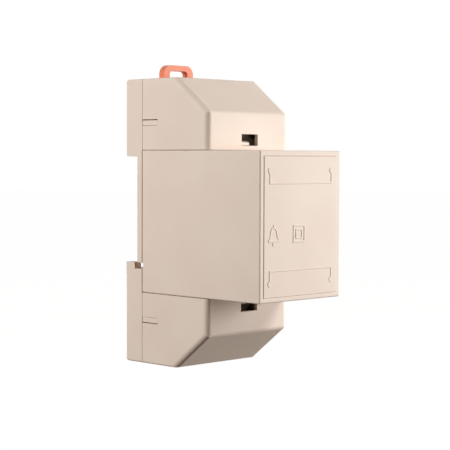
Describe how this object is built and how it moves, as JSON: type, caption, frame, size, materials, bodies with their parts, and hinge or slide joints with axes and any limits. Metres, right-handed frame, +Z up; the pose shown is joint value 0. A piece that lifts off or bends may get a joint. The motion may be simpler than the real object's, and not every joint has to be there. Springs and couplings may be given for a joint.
{
  "type": "bell transformer",
  "caption": "Bell transformer in a beige housing for a mounting rail, with lift-off terminal covers, clamp terminals and a sprung rail clip with a pull loop.",
  "frame": {"origin": "on the flat rail seat at the back, in the middle of the rail and of the housing's width", "axes": "+X to the right seen from the front, +Y from the front to the rail, +Z up"},
  "size_m": [0.036, 0.0596, 0.0957],
  "materials": {
    "housing_plastic": "fine matt moulded surface",
    "clip_plastic": "satin moulded surface",
    "block_plastic": "satin moulded surface",
    "bobbin_plastic": "matt moulded surface",
    "zinc_steel": "zinc plated",
    "spring_steel": "drawn wire",
    "core_steel": "laminated, varnished",
    "brass": "stamped",
    "copper_wire": "enamelled winding wire",
    "tape": "smooth film",
    "fuse_case": "smooth",
    "dark_lead": "smooth insulation",
    "light_lead": "smooth insulation"
  },
  "bodies": {
    "housing": {"rear_housing": "housing_plastic", "nose_housing": "housing_plastic", "clip_spring": "spring_steel", "case_screws": "zinc_steel", "upper_terminal_block": "block_plastic", "lower_terminal_block": "block_plastic", "upper_left_contact": "brass", "upper_right_contact": "brass", "lower_left_contact": "brass", "lower_right_contact": "brass", "core_e_stack": "core_steel", "core_i_stack": "core_steel", "core_frame": "zinc_steel", "bobbin": "bobbin_plastic", "primary_winding": "copper_wire", "secondary_winding": "copper_wire", "primary_tape": "tape", "secondary_tape": "tape", "primary_pins": "zinc_steel", "secondary_pins": "zinc_steel", "thermal_fuse": "fuse_case", "primary_left_lead": "dark_lead", "primary_right_lead": "dark_lead", "secondary_left_lead": "light_lead", "secondary_right_lead": "light_lead"},
    "clip": {"rail_clip": "clip_plastic"},
    "upper_cover": {"upper_terminal_cover": "housing_plastic"},
    "lower_cover": {"lower_terminal_cover": "housing_plastic"},
    "upper_left_clamp_screw": {"upper_left_screw": "zinc_steel"},
    "upper_right_clamp_screw": {"upper_right_screw": "zinc_steel"},
    "lower_left_clamp_screw": {"lower_left_screw": "zinc_steel"},
    "lower_right_clamp_screw": {"lower_right_screw": "zinc_steel"},
    "upper_left_clamp_cage": {"upper_left_cage": "zinc_steel"},
    "upper_right_clamp_cage": {"upper_right_cage": "zinc_steel"},
    "lower_left_clamp_cage": {"lower_left_cage": "zinc_steel"},
    "lower_right_clamp_cage": {"lower_right_cage": "zinc_steel"}
  },
  "joints": [
    {"name": "clip_slide", "type": "slide", "parent": "housing", "child": "clip", "axis": [0, 0, 1], "range_m": [0, 0.0035], "stiffness_N_per_m": 800, "springref_m": -0.006, "deforming": ["clip_spring"]},
    {"name": "upper_cover_off", "type": "slide", "parent": "housing", "child": "upper_cover", "axis": [0, -1, 0], "range_m": [0, 0.056]},
    {"name": "lower_cover_off", "type": "slide", "parent": "housing", "child": "lower_cover", "axis": [0, -1, 0], "range_m": [0, 0.056]},
    {"name": "upper_left_screw_turn", "type": "hinge", "parent": "housing", "child": "upper_left_clamp_screw", "pos_m": [-0.009, -0.02, 0.02725], "axis": [0, 1, 0], "range_deg": [0, 1800]},
    {"name": "upper_right_screw_turn", "type": "hinge", "parent": "housing", "child": "upper_right_clamp_screw", "pos_m": [0.009, -0.02, 0.02725], "axis": [0, 1, 0], "range_deg": [0, 1800]},
    {"name": "lower_left_screw_turn", "type": "hinge", "parent": "housing", "child": "lower_left_clamp_screw", "pos_m": [-0.009, -0.02, -0.03185], "axis": [0, 1, 0], "range_deg": [0, 1800]},
    {"name": "lower_right_screw_turn", "type": "hinge", "parent": "housing", "child": "lower_right_clamp_screw", "pos_m": [0.009, -0.02, -0.03185], "axis": [0, 1, 0], "range_deg": [0, 1800]},
    {"name": "upper_left_cage_slide", "type": "slide", "parent": "housing", "child": "upper_left_clamp_cage", "axis": [0, -1, 0], "range_m": [0, 0.003]},
    {"name": "upper_right_cage_slide", "type": "slide", "parent": "housing", "child": "upper_right_clamp_cage", "axis": [0, -1, 0], "range_m": [0, 0.003]},
    {"name": "lower_left_cage_slide", "type": "slide", "parent": "housing", "child": "lower_left_clamp_cage", "axis": [0, -1, 0], "range_m": [0, 0.003]},
    {"name": "lower_right_cage_slide", "type": "slide", "parent": "housing", "child": "lower_right_clamp_cage", "axis": [0, -1, 0], "range_m": [0, 0.003]}
  ],
  "couplings": [
    {"joint": "upper_left_screw_turn", "follows": "upper_left_cage_slide", "rad_per_m": 10471},
    {"joint": "upper_right_screw_turn", "follows": "upper_right_cage_slide", "rad_per_m": 10471},
    {"joint": "lower_left_screw_turn", "follows": "lower_left_cage_slide", "rad_per_m": 10471},
    {"joint": "lower_right_screw_turn", "follows": "lower_right_cage_slide", "rad_per_m": 10471}
  ]
}
